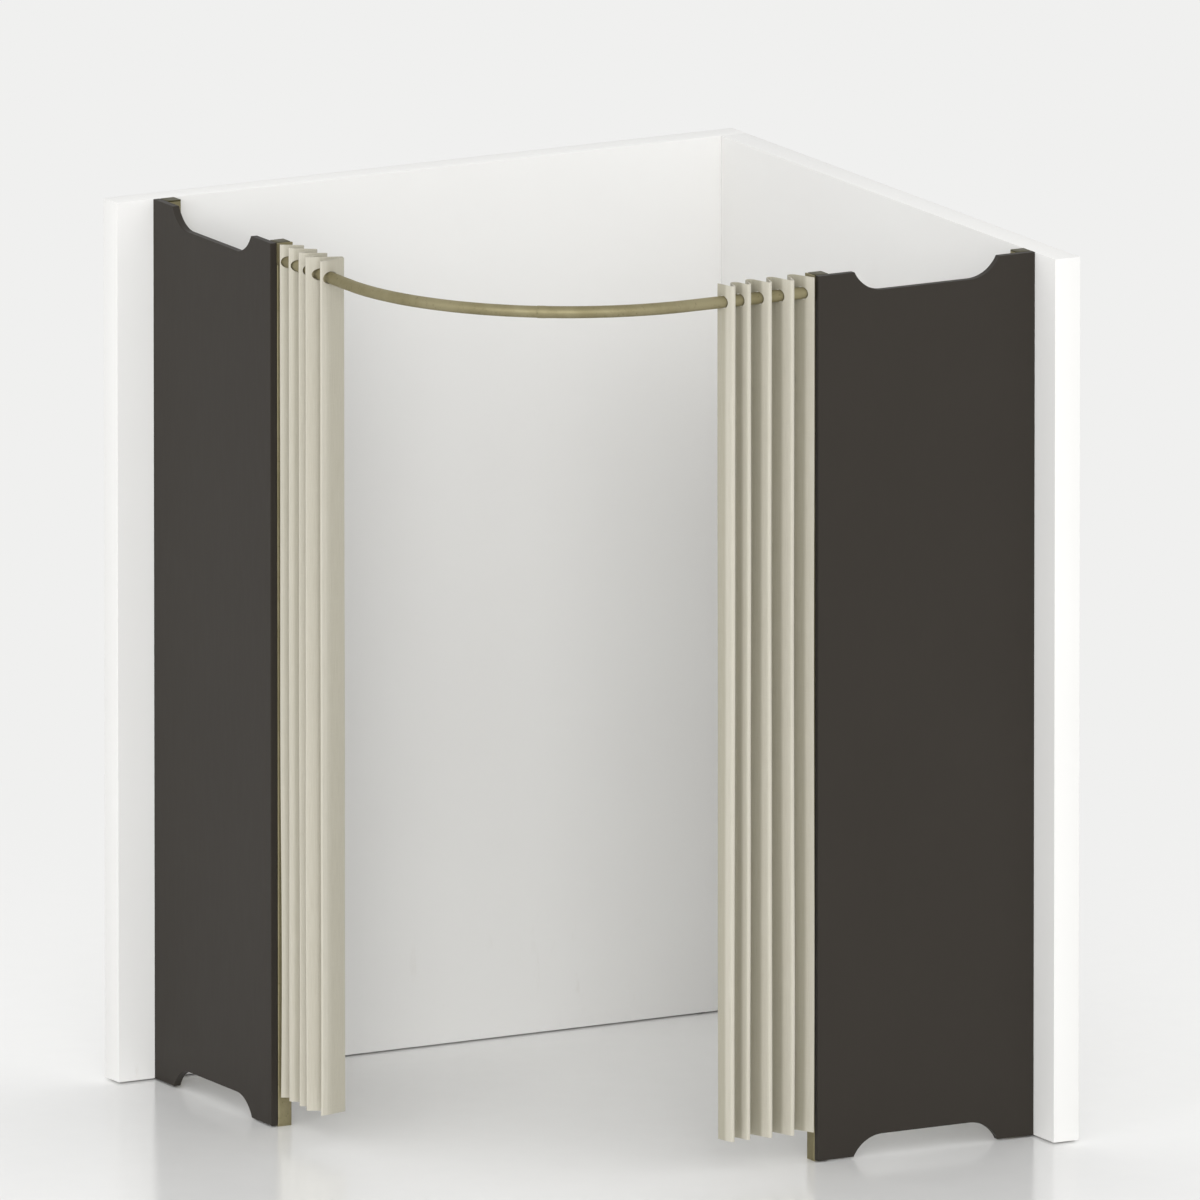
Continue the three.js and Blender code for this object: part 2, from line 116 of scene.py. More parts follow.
class Finish:
    """A material or world made from nodes: the surface treatment of one of the pieces."""

    def __init__(self, name, owner=None):
        self.material = owner or bpy.data.materials.new(name)
        self.material.use_nodes = True
        self.tree = self.material.node_tree
        self.tree.nodes.clear()

    def node(self, kind, settings=None, values=None, output=0):
        """A node with its settings made first, then its sockets filled or linked, by place or name."""
        made = self.tree.nodes.new(kind)
        for key, setting in (settings or {}).items():
            setattr(made, key, setting)
        inputs = [socket for socket in made.inputs if socket.enabled]
        for key, value in (values or {}).items():
            socket = inputs[key] if isinstance(key, int) else next(s for s in inputs if s.name == key)
            if isinstance(value, Flow):
                self.tree.links.new(value.socket, socket)
            elif socket.type == "RGBA" and len(value) == 3:
                socket.default_value = (*value, 1)
            else:
                socket.default_value = value
        outputs = [socket for socket in made.outputs if socket.enabled]
        if isinstance(output, int):
            return Flow(self, outputs[output])
        return Flow(self, next(socket for socket in outputs if socket.name == output))

    def place(self, stretch=(1, 1, 1), source="Object"):
        """Where a point is on the piece, in metres, stretched along the axes."""
        point = self.node("ShaderNodeTexCoord", {}, {}, source)
        return self.node("ShaderNodeMapping", {}, {"Vector": point, "Scale": stretch})

    def cloud(self, point, scale, detail, roughness):
        """A cloudy pattern from nought to one, with so many clouds to the metre."""
        values = {"Vector": point, "Scale": scale, "Detail": detail, "Roughness": roughness}
        return self.node("ShaderNodeTexNoise", {"noise_dimensions": "3D"}, values)

    def blend(self, share, first, second):
        """The first colour, with a share of the second mixed in."""
        settings = {"data_type": "RGBA", "blend_type": "MIX"}
        return self.node("ShaderNodeMix", settings, {"Factor": share, "A": first, "B": second})

    def seen_directly(self):
        """One for a ray from the camera, or off metal or glass, and nought for light on the pieces."""
        rays = [
            self.node("ShaderNodeLightPath", {}, {}, f"Is {kind} Ray")
            for kind in ("Camera", "Glossy", "Transmission")
        ]
        return rays[0].larger(rays[1]).larger(rays[2])

    def relief(self, height, distance, strength):
        """The slopes of a pattern of heights, so many metres high."""
        values = {"Strength": strength, "Distance": distance, "Height": height}
        return self.node("ShaderNodeBump", {}, values)

    def shade(self, **values):
        """The surface shader, with its sockets named by words joined with an underscore."""
        named = {key.replace("_", " "): value for key, value in values.items()}
        surface = self.node("ShaderNodeBsdfPrincipled", {}, named)
        self.node_output("ShaderNodeOutputMaterial", surface)
        return self.material

    def node_output(self, kind, surface):
        """Puts a surface on the material or world."""
        made = self.tree.nodes.new(kind)
        self.tree.links.new(surface.socket, made.inputs["Surface"])


def paint(red, green, blue):
    """A paint colour read off a colour card in steps of 255, as the shader's linear numbers."""
    steps = [value / 255 for value in (red, green, blue)]
    return tuple(v / 12.92 if v <= 0.04045 else ((v + 0.055) / 1.055) ** 2.4 for v in steps)


backdrop_tone = paint(240, 240, 239)
sky_strength = 0.88

sky = Finish("studio_sky", bpy.data.worlds.new("studio_sky"))
seen = sky.seen_directly()
dome = sky.node("ShaderNodeBackground", {}, {"Color": (1, 1, 1), "Strength": sky_strength})
backdrop = sky.node("ShaderNodeBackground", {}, {"Color": backdrop_tone, "Strength": 1.0})
sky_mix = sky.node("ShaderNodeMixShader", {}, {0: seen, 1: dome, 2: backdrop})
sky.node_output("ShaderNodeOutputWorld", sky_mix)
bpy.context.scene.world = sky.material
bpy.context.scene.view_settings.view_transform = "Standard"

lamps = {
    "front_lamp": {"strength": 1.03, "way": Vector((0.44, 0.86, -0.26)), "spread": math.radians(30)},
    "side_lamp": {"strength": 0.27, "way": Vector((0.843, 0.448, -0.292)), "spread": math.radians(15)},
}
for name, settings in lamps.items():
    lamp = bpy.data.lights.new(name, "SUN")
    lamp.energy = settings["strength"]
    lamp.angle = settings["spread"]
    stand = bpy.data.objects.new(name, lamp)
    stand.rotation_mode = "QUATERNION"
    stand.rotation_quaternion = settings["way"].to_track_quat("-Z", "Y")
    bpy.context.scene.collection.objects.link(stand)


def smooth_over(data, angle):
    """Makes the faces of a mesh smooth where they meet at less than an angle in degrees."""
    data.polygons.foreach_set("use_smooth", [True] * len(data.polygons))
    data.set_sharp_from_angle(angle=math.radians(angle))


def finished(name, mesh, finish, smooth=None):
    """Turns a bmesh into an object of the scene, with its faces smooth up to an angle in degrees."""
    data = bpy.data.meshes.new(name)
    mesh.to_mesh(data)
    mesh.free()
    data.materials.append(finish)
    if smooth:
        smooth_over(data, smooth)
    piece = bpy.data.objects.new(name, data)
    bpy.context.scene.collection.objects.link(piece)
    return piece


floor_reach = 150
floor_fade_start = 1.3
floor_fade_end = 4.0
floor_finish = Finish("pale_floor")
floor_cloud = floor_finish.cloud(floor_finish.place(), scale=0.7, detail=3, roughness=0.6)
floor_tone = floor_finish.blend(floor_cloud, paint(248, 248, 247), paint(250, 250, 249))
floor_shine = floor_finish.cloud(floor_finish.place(), scale=9, detail=4, roughness=0.6)
floor_shine = floor_shine.between(0.3, 0.7, start=0.14, end=0.18)
floor_mesh = bmesh.new()
bmesh.ops.create_circle(floor_mesh, cap_ends=True, radius=floor_reach, segments=64)
floor_radius = floor_finish.node(
    "ShaderNodeVectorMath", {"operation": "LENGTH"}, {0: floor_finish.place()}, "Value",
)
floor_far = floor_radius.between(floor_fade_start, floor_fade_end) * floor_finish.seen_directly()
floor_surface = floor_finish.node("ShaderNodeBsdfPrincipled", {}, {
    "Base Color": floor_tone, "Roughness": floor_shine, "Specular IOR Level": 0.5,
})
floor_drop = floor_finish.node("ShaderNodeEmission", {}, {"Color": backdrop_tone, "Strength": 1.0})
floor_parts = {0: floor_far, 1: floor_surface, 2: floor_drop}
floor_mix = floor_finish.node("ShaderNodeMixShader", {}, floor_parts)
floor_finish.node_output("ShaderNodeOutputMaterial", floor_mix)
floor = finished("floor", floor_mesh, floor_finish.material)


# Walls: each is a softwood frame faced with boards, filled, skimmed and rolled with matt white paint,
# so that the joints of the boards don't show. Two bolts in sunk seats hold the corner together.
wall_edge = 0.0012
wall_lift = 0.0041
# The left wall's end stands a skim of filler proud of the right wall's outer face.
filler = 0.0004
# The seats run from just outside the wall to below the bolts' heads.
seat_radius = 0.0094
seat_depth = 0.006
seat_overrun = 0.001


def span(*names):
    """The box round several nodes of the frame."""
    boxes = [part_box(name) for name in names]
    low = Vector(min(box[0][i] for box in boxes) for i in range(3))
    high = Vector(max(box[1][i] for box in boxes) for i in range(3))
    return low, high


def eased(mesh, edges, size, steps):
    """Rounds off some edges of a mesh."""
    bmesh.ops.bevel(
        mesh, geom=edges, offset=size, offset_type="OFFSET", affect="EDGES",
        segments=steps, profile=0.5, material=-1,
    )


def block(low, high, edge, steps, upright=False):
    """A block between two corners with its edges, or only the upright ones, rounded off."""
    mesh = bmesh.new()
    bmesh.ops.create_cube(mesh, size=1)
    bmesh.ops.scale(mesh, vec=high - low, verts=mesh.verts)
    bmesh.ops.translate(mesh, vec=(high + low) / 2, verts=mesh.verts)
    edges = [e for e in mesh.edges if not upright or abs(e.verts[0].co.z - e.verts[1].co.z) > edge]
    eased(mesh, edges, edge, steps)
    return mesh


def facing(start, way):
    """Takes what stands on the origin to a start, and turns its top to point along a way."""
    return Matrix.Translation(start) @ Vector(way).to_track_quat("Z", "Y").to_matrix().to_4x4()


def round_bar(start, way, length, radius, sides):
    """A plain bar from a start along a way: a disc, or a cutter for holes."""
    mesh = bmesh.new()
    bmesh.ops.create_cone(
        mesh, cap_ends=True, segments=sides, radius1=radius, radius2=radius, depth=length,
        matrix=Matrix.Translation((0, 0, length / 2)),
    )
    mesh.transform(facing(start, way))
    return mesh


def cut_holes(piece, cutters, smooth):
    """Cuts the cutters' shapes out of a piece for good, and throws the cutters away."""
    for mesh in cutters:
        cutter = finished("cutter", mesh, piece.data.materials[0])
        cut = piece.modifiers.new("cut", "BOOLEAN")
        cut.operation = "DIFFERENCE"
        cut.solver = "EXACT"
        cut.object = cutter
        depsgraph = bpy.context.evaluated_depsgraph_get()
        data = bpy.data.meshes.new_from_object(piece.evaluated_get(depsgraph))
        piece.modifiers.clear()
        piece.data = data
        bpy.data.objects.remove(cutter)
    piece.data.name = piece.name
    smooth_over(piece.data, smooth)


def coated(node, finish):
    """Gives a node of the frame, which stays as it is, its material."""
    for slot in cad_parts[node].material_slots:
        slot.material = finish


wall_paint = Finish("white_wall_paint")
wall_point = wall_paint.place()
wall_height = wall_paint.node("ShaderNodeSeparateXYZ", {}, {"Vector": wall_point}, "Z")
wall_patch = wall_paint.cloud(wall_point, scale=1.7, detail=3, roughness=0.55)
wall_scuff = wall_paint.cloud(wall_paint.place((1, 1, 0.25)), scale=26, detail=5, roughness=0.65)
wall_scuff = wall_scuff.between(0.6, 0.75) * wall_height.between(0.02, 0.45, start=0.3, end=0.0)
wall_tone = wall_paint.blend(wall_patch, paint(236, 235, 233), paint(240, 240, 238))
wall_tone = wall_paint.blend(wall_scuff, wall_tone, paint(214, 210, 203))
wall_nap = wall_paint.cloud(wall_point, scale=420, detail=3, roughness=0.6)
wall_waves = wall_paint.cloud(wall_point, scale=60, detail=2, roughness=0.5)
white_wall = wall_paint.shade(
    Base_Color=wall_tone,
    Roughness=wall_patch.between(0.2, 0.8, start=0.58, end=0.66),
    Normal=wall_paint.relief(wall_nap + wall_waves * 0.6, distance=0.00025, strength=0.5),
    Specular_IOR_Level=0.35,
)

for side in ("left", "right"):
    boards = [f"{side}_wall_{board}" for board in ("inner_board", "outer_board", "top_cap", "end_cap")]
    low, high = span(*boards)
    low.z = wall_lift
    if side == "left":
        high.x += filler
    wall = finished(f"{side}_wall", block(low, high, wall_edge, steps=3), white_wall, smooth=40)
    if side == "left":
        seats = []
        for level in ("lower", "upper"):
            bolt_low, bolt_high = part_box(f"corner_bolt_{level}")
            middle = (bolt_low + bolt_high) / 2
            start = Vector((middle.x, high.y + seat_overrun, middle.z))
            length = start.y - bolt_high.y + seat_depth
            seats.append(round_bar(start, (0, -1, 0), length, seat_radius, sides=32))
        cut_holes(wall, seats, smooth=40)
    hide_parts(*boards)
    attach(wall, "room")

wood = Finish("frame_softwood")
wood_point = wood.place((1, 1, 0.06))
wood_ring_count = 38
wood_rings = wood.cloud(wood_point, scale=22, detail=4, roughness=0.55) * wood_ring_count
wood_rings = wood_rings.sine().between(-1, 1)
wood_tone = wood.blend(wood_rings, paint(214, 184, 136), paint(190, 152, 102))
softwood = wood.shade(
    Base_Color=wood_tone,
    Roughness=wood_rings.between(0, 1, start=0.62, end=0.78),
    Normal=wood.relief(wood_rings, distance=0.0002, strength=0.4),
)
for side in ("left", "right"):
    coated(f"{side}_wall_frame", softwood)


# Glides: black rubber discs under the walls, with a rounded rim and a dusty face.
glide_edge = 0.0008


def level_edges(mesh, size):
    """The edges of a mesh that lie level, to within a size."""
    return [e for e in mesh.edges if abs(e.verts[0].co.z - e.verts[1].co.z) < size]


rubber = Finish("black_rubber")
rubber_dust = rubber.cloud(rubber.place(), scale=140, detail=4, roughness=0.6).between(0.45, 0.75)
black_rubber = rubber.shade(
    Base_Color=rubber.blend(rubber_dust, paint(30, 30, 30), paint(58, 56, 53)),
    Roughness=rubber_dust.between(0, 1, start=0.7, end=0.92),
    Normal=rubber.relief(rubber_dust, distance=0.0002, strength=0.4),
)
for side in ("left", "right"):
    for end in ("corner", "end"):
        node = f"{side}_wall_glide_{end}"
        low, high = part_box(node)
        middle = (low + high) / 2
        foot = (middle.x, middle.y, low.z)
        disc = round_bar(foot, (0, 0, 1), high.z - low.z, (high.x - low.x) / 2, sides=48)
        eased(disc, level_edges(disc, glide_edge), glide_edge, steps=2)
        glide = finished(f"{side}_glide_{end}", disc, black_rubber, smooth=50)
        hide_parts(node)
        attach(glide, "room")


# Screws and bolts: zinc-plated pan heads with a six-sided recess, turned from bar and rolled. The same
# pattern serves the board screws, the wall anchors and the corner bolts. The brackets' are brass.
bolt_size = {"head_radius": 0.009, "head_height": 0.005, "shank_radius": 0.004}
screw_size = {"head_radius": 0.005, "head_height": 0.0024, "shank_radius": 0.0025}
# The rings of a head from its rim up: each one's width to the one before, and its share of the height.
head_rings = ((1.0, 0.45), (0.93, 0.3), (0.74, 0.25))
recess_width = 0.42
recess_taper = 0.96
recess_depth = 0.6
tip_width = 0.25

zinc = Finish("zinc_plate")
zinc_cloud = zinc.cloud(zinc.place(), scale=900, detail=3, roughness=0.6)
zinc_plate = zinc.shade(
    Base_Color=zinc.blend(zinc_cloud, paint(176, 178, 181), paint(205, 206, 208)),
    Metallic=1.0,
    Roughness=zinc_cloud.between(0.3, 0.7, start=0.28, end=0.42),
)


def drawn_off(mesh, ring):
    """Doubles a line or ring of edges, with faces between, and gives the new one's points and edges."""
    grown = bmesh.ops.extrude_edge_only(mesh, edges=ring)["geom"]
    verts = [part for part in grown if isinstance(part, bmesh.types.BMVert)]
    edges = [part for part in grown if isinstance(part, bmesh.types.BMEdge)]
    return verts, [e for e in edges if e.verts[0] in verts and e.verts[1] in verts]


def next_ring(mesh, ring, width, rise):
    """Pulls a ring of edges up and narrows it about the upright axis, and gives the new ring."""
    verts, new_ring = drawn_off(mesh, ring)
    bmesh.ops.translate(mesh, verts=verts, vec=(0, 0, rise))
    bmesh.ops.scale(mesh, verts=verts, vec=(width, width, 1))
    return new_ring


def screw_like(node, way, finish, slot_name, head_radius, head_height, shank_radius):
    """A screw in the place of the frame's own, whose head is at the start of the way."""
    low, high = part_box(node)
    way = Vector(way)
    reach = abs(((high - low) / 2).dot(way))
    seat = (low + high) / 2 - way * (reach - head_height)
    length = 2 * reach - head_height
    mesh = bmesh.new()
    bmesh.ops.create_circle(mesh, cap_ends=False, radius=head_radius, segments=24)
    rim = list(mesh.edges)
    crown = rim
    for width, rise in head_rings:
        crown = next_ring(mesh, crown, width, head_height * rise)
    before = set(mesh.edges)
    bmesh.ops.create_circle(
        mesh, cap_ends=False, radius=head_radius * recess_width, segments=6,
        matrix=Matrix.Translation((0, 0, head_height)),
    )
    recess = [e for e in mesh.edges if e not in before]
    bmesh.ops.bridge_loops(mesh, edges=crown + recess)
    recess_floor = next_ring(mesh, recess, recess_taper, -head_height * recess_depth)
    bmesh.ops.contextual_create(mesh, geom=recess_floor)
    under = next_ring(mesh, rim, shank_radius / head_radius, 0)
    shank = next_ring(mesh, under, 1.0, shank_radius - length)
    tip = next_ring(mesh, shank, tip_width, -shank_radius)
    bmesh.ops.contextual_create(mesh, geom=tip)
    bmesh.ops.recalc_face_normals(mesh, faces=mesh.faces)
    mesh.transform(facing(seat, -way))
    piece = finished(f"{node}_turned", mesh, finish, smooth=35)
    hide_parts(node)
    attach(piece, "room")


for level in ("lower", "upper"):
    screw_like(f"corner_bolt_{level}", (0, -1, 0), zinc_plate, "steel", **bolt_size)
    screw_like(f"left_wall_anchor_{level}", (0, 1, 0), zinc_plate, "steel", **screw_size)
    screw_like(f"right_wall_anchor_{level}", (1, 0, 0), zinc_plate, "steel", **screw_size)
    for end in ("rear", "front"):
        screw_like(f"left_{end}_board_screw_{level}", (-1, 0, 0), zinc_plate, "steel", **screw_size)
        screw_like(f"right_{end}_board_screw_{level}", (0, -1, 0), zinc_plate, "steel", **screw_size)


# Boards: dark warm-grey melamine boards with eased edges, a wide shallow cut-out at the foot and at the
# top. Their print has a fine pebble and a faint upright grain.
melamine = Finish("dark_board")
board_point = melamine.place()
board_patch = melamine.cloud(board_point, scale=2.3, detail=4, roughness=0.6)
board_grain = melamine.cloud(melamine.place((1, 1, 0.12)), scale=90, detail=4, roughness=0.6)
board_pebble = melamine.cloud(board_point, scale=700, detail=2, roughness=0.5)
board_tone = melamine.blend(board_patch, paint(50, 46, 41), paint(54, 50, 45))
board_tone = melamine.blend(board_grain.between(0.45, 0.7) * 0.08, board_tone, paint(60, 56, 50))
dark_board = melamine.shade(
    Base_Color=board_tone,
    Roughness=board_grain.between(0.3, 0.7, start=0.5, end=0.54),
    Normal=melamine.relief(board_pebble, distance=0.00012, strength=0.5),
    Specular_IOR_Level=0.16,
)
for side in ("left", "right"):
    coated(f"{side}_board", dark_board)


# Posts: square brass-coloured tubes with rounded corners, dulled by handling, each with a foot and a
# cap pressed into its ends. The caps are coloured much darker than the tubes, a painted shade on the
# posts' tops.
post_corner = 0.003
plate_edge = 0.0006
# A hairline is left between a tube and the plates at its ends.
plate_gap = 0.0003

brass = Finish("aged_brass")
brass_point = brass.place()
brass_patina = brass.cloud(brass_point, scale=9, detail=5, roughness=0.62)
brass_spots = brass.cloud(brass_point, scale=130, detail=4, roughness=0.65).between(0.58, 0.72)
brass_brush = brass.cloud(brass.place((1, 1, 0.02)), scale=1500, detail=2, roughness=0.5)
brass_tone = brass.blend(brass_patina.between(0.35, 0.68), paint(160, 152, 121), paint(145, 137, 105))
brass_tone = brass.blend(brass_spots * 0.45, brass_tone, paint(104, 96, 66))
aged_brass = brass.shade(
    Base_Color=brass_tone,
    Metallic=0.9,
    Roughness=brass_patina.between(0.3, 0.7, start=0.52, end=0.6) + brass_spots * 0.1,
    Normal=brass.relief(brass_brush, distance=0.00004, strength=0.4),
)
# Painted shade: the caps' brass is far darker than the tubes', so that the posts' tops fall dark.
cap_finish = Finish("painted_dark_cap_brass")
cap_point = cap_finish.place()
cap_patch = cap_finish.cloud(cap_point, scale=60, detail=5, roughness=0.65)
cap_casting = cap_finish.cloud(cap_point, scale=900, detail=3, roughness=0.6)
painted_dark_cap_brass = cap_finish.shade(
    Base_Color=cap_finish.blend(cap_patch, paint(66, 61, 38), paint(88, 83, 55)),
    Metallic=0.85,
    Roughness=cap_patch.between(0.3, 0.7, start=0.45, end=0.6),
    Normal=cap_finish.relief(cap_casting, distance=0.00005, strength=0.5),
)

for side in ("left", "right"):
    for end in ("rear", "front"):
        post = f"{side}_{end}_post"
        post_low, post_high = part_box(post)
        mesh = block(post_low, post_high, post_corner, steps=5, upright=True)
        tube = finished(f"{post}_tube", mesh, aged_brass, smooth=30)
        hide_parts(post)
        for node, top in ((f"{post}_foot", False), (f"{post}_cap", True)):
            low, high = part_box(node)
            plate_low = Vector((low.x, low.y, post_high.z + plate_gap if top else low.z))
            plate_high = Vector((high.x, high.y, high.z if top else post_low.z - plate_gap))
            mesh = block(plate_low, plate_high, post_corner, steps=5, upright=True)
            eased(mesh, level_edges(mesh, plate_edge), plate_edge, steps=2)
            plate = finished(f"{node}_plate", mesh, painted_dark_cap_brass if top else aged_brass, smooth=30)
            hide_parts(node)
            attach(plate, "room")
        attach(tube, "room")


# Brackets: a brass plate on the front of each front post, held by one screw. The rail goes through it.
for side, way in (("left", (0, 1, 0)), ("right", (1, 0, 0))):
    coated(f"{side}_rail_bracket", aged_brass)
    screw_like(f"{side}_bracket_screw", way, aged_brass, "brass", **screw_size)


# Rail: two bent brass tubes. The right one ends in a slightly swollen lip that takes the end of the
# left one, over a steel sleeve.
rail_height = 2.155
rail_line = 0.7367
rail_start = 0.2044
rail_straight_end = -0.135
left_bend = math.radians(54)
right_bend = math.radians(36)
left_rail_radius = 0.0145
right_rail_radius = 0.0148
tube_wall = 0.0016
lip_radius = 0.0152
lip_length = 0.022
# The share of the lip's length on which it swells, and again on which it narrows to its end.
lip_slope = 0.06
lip_end = 0.97
lip_play = 0.0001


def moved_on(mesh, ring, way):
    """Draws a ring of edges on along a straight line, and gives the new ring."""
    verts, new_ring = drawn_off(mesh, ring)
    bmesh.ops.translate(mesh, verts=verts, vec=way)
    return new_ring


def bent_on(mesh, ring, centre, angle, steps):
    """Draws a ring of edges on round an upright axis, and gives the new ring."""
    spun = bmesh.ops.spin(
        mesh, geom=ring, cent=centre, axis=(0, 0, 1), angle=angle, steps=steps, use_duplicate=False,
    )
    return [part for part in spun["geom_last"] if isinstance(part, bmesh.types.BMEdge)]


def ring_middle(ring):
    """The points of a ring of edges, each once, and the middle of them."""
    verts = list(dict.fromkeys(vert for edge in ring for vert in edge.verts))
    return verts, sum((vert.co for vert in verts), Vector()) / len(verts)


def rail_half(side, start, way, radius, bend, lip):
    """One tube of the rail: straight from its post, then bent, with or without a lip at its end."""
    mesh = bmesh.new()
    bmesh.ops.create_circle(mesh, cap_ends=False, radius=radius, segments=48, matrix=facing(start, way))
    ring = list(mesh.edges)
    half_straight = Vector(way) * (rail_start - rail_straight_end) / 2
    ring = moved_on(mesh, ring, half_straight)
    ring = moved_on(mesh, ring, half_straight)
    centre = (rail_straight_end, rail_straight_end, rail_height)
    lip_turn = math.copysign(lip_length / (rail_line + rail_straight_end), bend)
    if lip:
        bore = (left_rail_radius + lip_play) / lip_radius
        ring = bent_on(mesh, ring, centre, bend - lip_turn, steps=24)
        slope = (lip_slope, lip_radius / radius)
        for share, swell in (slope, (1 - 2 * lip_slope, 1.0), (lip_slope, lip_end)):
            ring = bent_on(mesh, ring, centre, lip_turn * share, steps=1)
            verts, middle = ring_middle(ring)
            bmesh.ops.scale(mesh, verts=verts, vec=(swell,) * 3, space=Matrix.Translation(-middle))
    else:
        bore = (left_rail_radius - tube_wall) / radius
        ring = bent_on(mesh, ring, centre, bend, steps=36)
    middle = ring_middle(ring)[1]
    inner_verts, inner_ring = drawn_off(mesh, ring)
    bmesh.ops.scale(mesh, verts=inner_verts, vec=(bore,) * 3, space=Matrix.Translation(-middle))
    bent_on(mesh, inner_ring, centre, -lip_turn, steps=2)
    bmesh.ops.recalc_face_normals(mesh, faces=mesh.faces)
    piece = finished(f"{side}_rail_tube", mesh, aged_brass, smooth=35)
    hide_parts(f"{side}_rail")
    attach(piece, "room")


rail_half(
    "left", start=(-rail_line, rail_start, rail_height), way=(0, -1, 0),
    radius=left_rail_radius, bend=left_bend, lip=False,
)
rail_half(
    "right", start=(rail_start, -rail_line, rail_height), way=(-1, 0, 0),
    radius=right_rail_radius, bend=-right_bend, lip=True,
)
coated("rail_join_sleeve", zinc_plate)


# Curtains: heavy cream cotton, hung straight on the rail through plain holes, five waves a side.
cloth_top = 2.198
cloth_length = 2.122
cloth_thickness = 0.0022
cloth_rows = 58
cloth_smooth = 60
post_face = 0.205

# The corners of the folds seen from above, in millimetres along the rail from the post and out from it.
# After the first, which is the edge at the post, they are the inner and the outer folds in turn.
left_folds = [
    (14.0, 19.0), (51.2, -32.1), (61.1, 23.4), (105.0, -38.9), (120.9, 28.5),
    (158.0, -39.7), (173.9, 40.2), (212.4, -54.2), (276.4, 169.0), (223.0, -44.0),
]
right_folds = [
    (10.3, 34.2), (46.9, -49.8), (72.4, 54.4), (103.7, -53.6), (131.1, 47.1),
    (161.4, -57.4), (186.4, 45.8), (209.5, -52.2), (230.7, 49.5), (248.4, -17.4),
]
fold_steps = 8
blade_steps = 5

# The cloth sways from its plan by this much at most, at the foot, in waves so many to the metre. The
# last number keeps its sways to the two sides from being alike.
sway_size = 0.005
sway_across = 9
sway_down = 1.1
sway_apart = 7

# The holes are flat ovals: this much play above and below the rail, and more at its sides. The bar that
# cuts them starts behind the post's face and ends past the last fold.
hole_slack = 0.0008
cutter_start = 0.25
cutter_length = 0.4

# The painted shade of the hollows, a darker tone multiplied into the cloth deep in its folds, and how
# soft its edge is, as a share of the folds' depth. Each curtain has a line, the place out from the rail
# where the painted shade starts, and a limit, which holds it back.
fold_shade_tone = paint(221, 220, 214)
fold_shade_blur = 0.1
fold_depth = 0.060

cotton = Finish("cream_cotton")
thread = cotton.place(source="UV")
thread_x = cotton.node("ShaderNodeSeparateXYZ", {}, {"Vector": thread}, "X")
thread_y = cotton.node("ShaderNodeSeparateXYZ", {}, {"Vector": thread}, "Y")
warp_slub = cotton.cloud(cotton.place((1, 0.02, 1), "UV"), scale=700, detail=3, roughness=0.6)
weft_slub = cotton.cloud(cotton.place((0.03, 1, 1), "UV"), scale=600, detail=3, roughness=0.6)
thread_pitch = 0.0011
warp_thread = (thread_x * (2 * math.pi / thread_pitch)).sine()
weft_thread = (thread_y * (2 * math.pi / thread_pitch)).sine()
weave = (warp_thread * weft_thread).between(-1, 1)
cotton_patch = cotton.cloud(cotton.place(source="UV"), scale=3.5, detail=4, roughness=0.55)
cotton_tone = cotton.blend(cotton_patch, paint(203, 199, 185), paint(210, 206, 193))
cotton_tone = cotton.blend(warp_slub.between(0.35, 0.7) * 0.5, cotton_tone, paint(190, 185, 169))
cotton_tone = cotton.blend(weft_slub.between(0.5, 0.75) * 0.35, cotton_tone, paint(214, 210, 197))
cotton_tone = cotton.blend(weave * 0.25, cotton_tone, paint(178, 172, 157))
fold_place = cotton.node("ShaderNodeUVMap", {"uv_map": "folds"})
fold_out = cotton.node("ShaderNodeSeparateXYZ", {}, {"Vector": fold_place}, "X")
# Painted shade: the cloth's colour is darkened deep in the hollows of the folds, where shade falls.
painted_fold_shade = fold_out.between(0.5 - fold_shade_blur, 0.5 + fold_shade_blur, start=1.0, end=0.0)
cotton_with_painted_shade = cotton.node(
    "ShaderNodeMix", {"data_type": "RGBA", "blend_type": "MULTIPLY"},
    {"Factor": painted_fold_shade, "A": cotton_tone, "B": fold_shade_tone},
)
cotton_height = weave * 0.6 + warp_slub * 0.5 + weft_slub * 0.5
cream_cotton = cotton.shade(
    Base_Color=cotton_with_painted_shade,
    Roughness=weave.between(0, 1, start=0.82, end=0.94),
    Normal=cotton.relief(cotton_height, distance=0.0003, strength=0.6),
    Sheen_Weight=0.15,
    Sheen_Roughness=0.5,
    Specular_IOR_Level=0.2,
)


def folded_line(corners, inner_fold, outer_fold):
    """The cloth's line from above, blades between rounded folds, and where its inner folds are."""
    line = [corners[0]]
    middles = []
    for index in range(1, len(corners) - 1):
        before, corner, after = corners[index - 1:index + 2]
        radius = inner_fold if index % 2 else outer_fold
        back = (before - corner).normalized()
        on = (after - corner).normalized()
        half = back.angle(on) / 2
        centre = corner + (back + on).normalized() * (radius / math.sin(half))
        first = corner + back * (radius / math.tan(half)) - centre
        last = corner + on * (radius / math.tan(half)) - centre
        sweep = first.angle_signed(last)
        previous = line[-1]
        entry = centre + first
        line += [previous.lerp(entry, step / blade_steps) for step in range(1, blade_steps)]
        for step in range(fold_steps + 1):
            turned = Matrix.Rotation(-sweep * step / fold_steps, 2) @ first
            line.append(centre + turned)
            if step == fold_steps // 2 and index % 2:
                middles.append(len(line) - 1)
    previous = line[-1]
    line += [previous.lerp(corners[-1], step / blade_steps) for step in range(1, blade_steps + 1)]
    return line, middles


